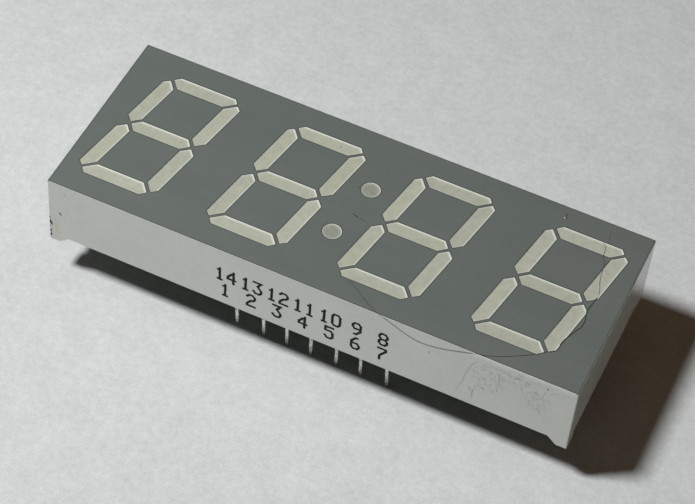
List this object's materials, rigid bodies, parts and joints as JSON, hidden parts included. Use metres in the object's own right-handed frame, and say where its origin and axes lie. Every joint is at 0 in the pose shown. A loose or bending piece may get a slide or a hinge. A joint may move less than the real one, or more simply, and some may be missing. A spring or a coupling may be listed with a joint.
{
  "type": "seven segment display module",
  "caption": "Row of seven segment digits with a colon in a slim grey faced moulded case, with two rows of wire pins behind for soldering to a circuit board.",
  "frame": {"origin": "centre of the box at the plane of the pin tips, below the middle of the face", "axes": "+X along the row of digits in reading order, +Y to the top of the digits, +Z out of the lit face"},
  "size_m": [0.0508, 0.019, 0.0123],
  "materials": {
    "case_plastic": "light warm grey moulded plastic, satin, with fine scuffs",
    "face_print": "grey printed face, even satin",
    "segment_resin": "milky olive beige diffusing resin",
    "colon_resin": "milky grey diffusing resin",
    "board": "green solder resist on glass fibre board",
    "chip": "bare light emitting chip",
    "gold_wire": "bright drawn wire",
    "solder": "bright solder",
    "rear_resin": "cast sealing resin, slightly uneven gloss",
    "tinned_pin": "tinned steel wire, dulled"
  },
  "bodies": {
    "root": {"reflector_case": "case_plastic", "face_print": "face_print", "segment_1a": "segment_resin", "segment_1b": "segment_resin", "segment_1c": "segment_resin", "segment_1d": "segment_resin", "segment_1e": "segment_resin", "segment_1f": "segment_resin", "segment_1g": "segment_resin", "segment_2a": "segment_resin", "segment_2b": "segment_resin", "segment_2c": "segment_resin", "segment_2d": "segment_resin", "segment_2e": "segment_resin", "segment_2f": "segment_resin", "segment_2g": "segment_resin", "segment_3a": "segment_resin", "segment_3b": "segment_resin", "segment_3c": "segment_resin", "segment_3d": "segment_resin", "segment_3e": "segment_resin", "segment_3f": "segment_resin", "segment_3g": "segment_resin", "segment_4a": "segment_resin", "segment_4b": "segment_resin", "segment_4c": "segment_resin", "segment_4d": "segment_resin", "segment_4e": "segment_resin", "segment_4f": "segment_resin", "segment_4g": "segment_resin", "colon_upper": "colon_resin", "colon_lower": "colon_resin", "circuit_board": "board", "led_chips": "chip", "bond_wires": "gold_wire", "solder_joints": "solder", "rear_resin": "rear_resin", "pin_01": "tinned_pin", "pin_02": "tinned_pin", "pin_03": "tinned_pin", "pin_04": "tinned_pin", "pin_05": "tinned_pin", "pin_06": "tinned_pin", "pin_07": "tinned_pin", "pin_08": "tinned_pin", "pin_09": "tinned_pin", "pin_10": "tinned_pin", "pin_11": "tinned_pin", "pin_12": "tinned_pin", "pin_13": "tinned_pin", "pin_14": "tinned_pin"}
  },
  "joints": []
}
